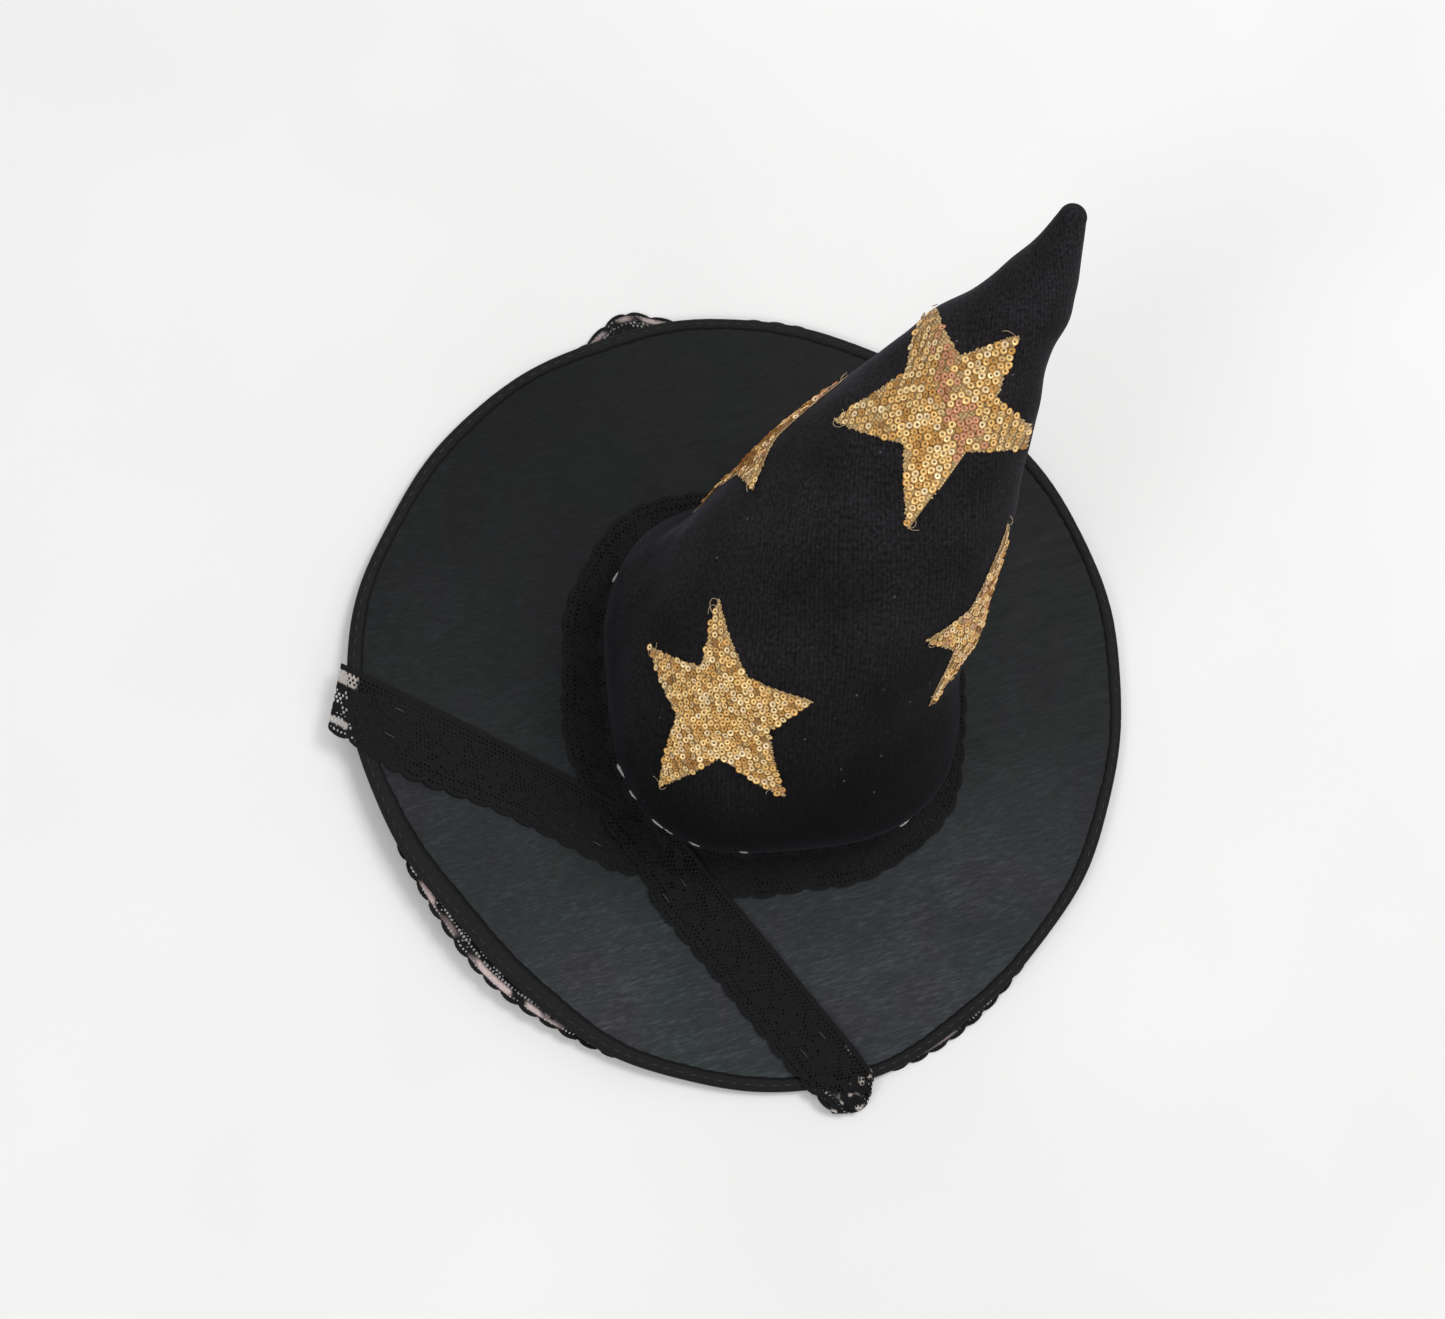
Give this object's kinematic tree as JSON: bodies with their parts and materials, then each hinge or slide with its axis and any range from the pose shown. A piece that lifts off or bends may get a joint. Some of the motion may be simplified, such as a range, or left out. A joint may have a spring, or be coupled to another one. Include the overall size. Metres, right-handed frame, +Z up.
{
  "type": "party hat",
  "caption": "Floppy pointed party hat with a round wired brim, lace ribbon and trim, and sequin stars on a leaning crown.",
  "frame": {"origin": "centre of the head opening, on the surface that the brim rests on", "axes": "+Z up out of the brim, the crown leans towards +Y, +X to the right seen from the front"},
  "size_m": [0.4139, 0.414, 0.2983],
  "materials": {
    "top_satin": "polyester satin, soft sheen",
    "under_satin": "polyester satin, dull side",
    "stiffener": "needled felt interfacing",
    "hem_tape": "folded bias tape",
    "wire": "drawn millinery wire",
    "ferrule": "crimped sleeve",
    "thread": "sewing thread",
    "lace": "nylon lace with corded edge",
    "grosgrain": "ribbed grosgrain ribbon",
    "lining": "woven lining",
    "interlining": "fused non-woven",
    "velvet": "ribbed stretch velvet",
    "sequin_gold": "metallic sequins on net",
    "glue": "set hot-melt glue"
  },
  "bodies": {
    "root": {"brim_under_fabric": "under_satin", "brim_stiffener": "stiffener", "brim_top_fabric": "top_satin", "brim_hem": "hem_tape", "brim_wire": "wire", "wire_ferrule": "ferrule", "hem_stitches": "thread", "brim_edge_lace": "lace", "sweatband": "grosgrain", "crown_lining": "lining", "crown_interlining": "interlining", "crown_shell": "velvet", "crown_seam_stitches": "thread", "lace_ribbon": "lace", "lace_tacks": "thread", "glue_dabs": "glue", "star_front_low": "sequin_gold", "star_front_high": "sequin_gold", "star_left": "sequin_gold", "star_right": "sequin_gold", "star_back": "sequin_gold"}
  },
  "joints": []
}
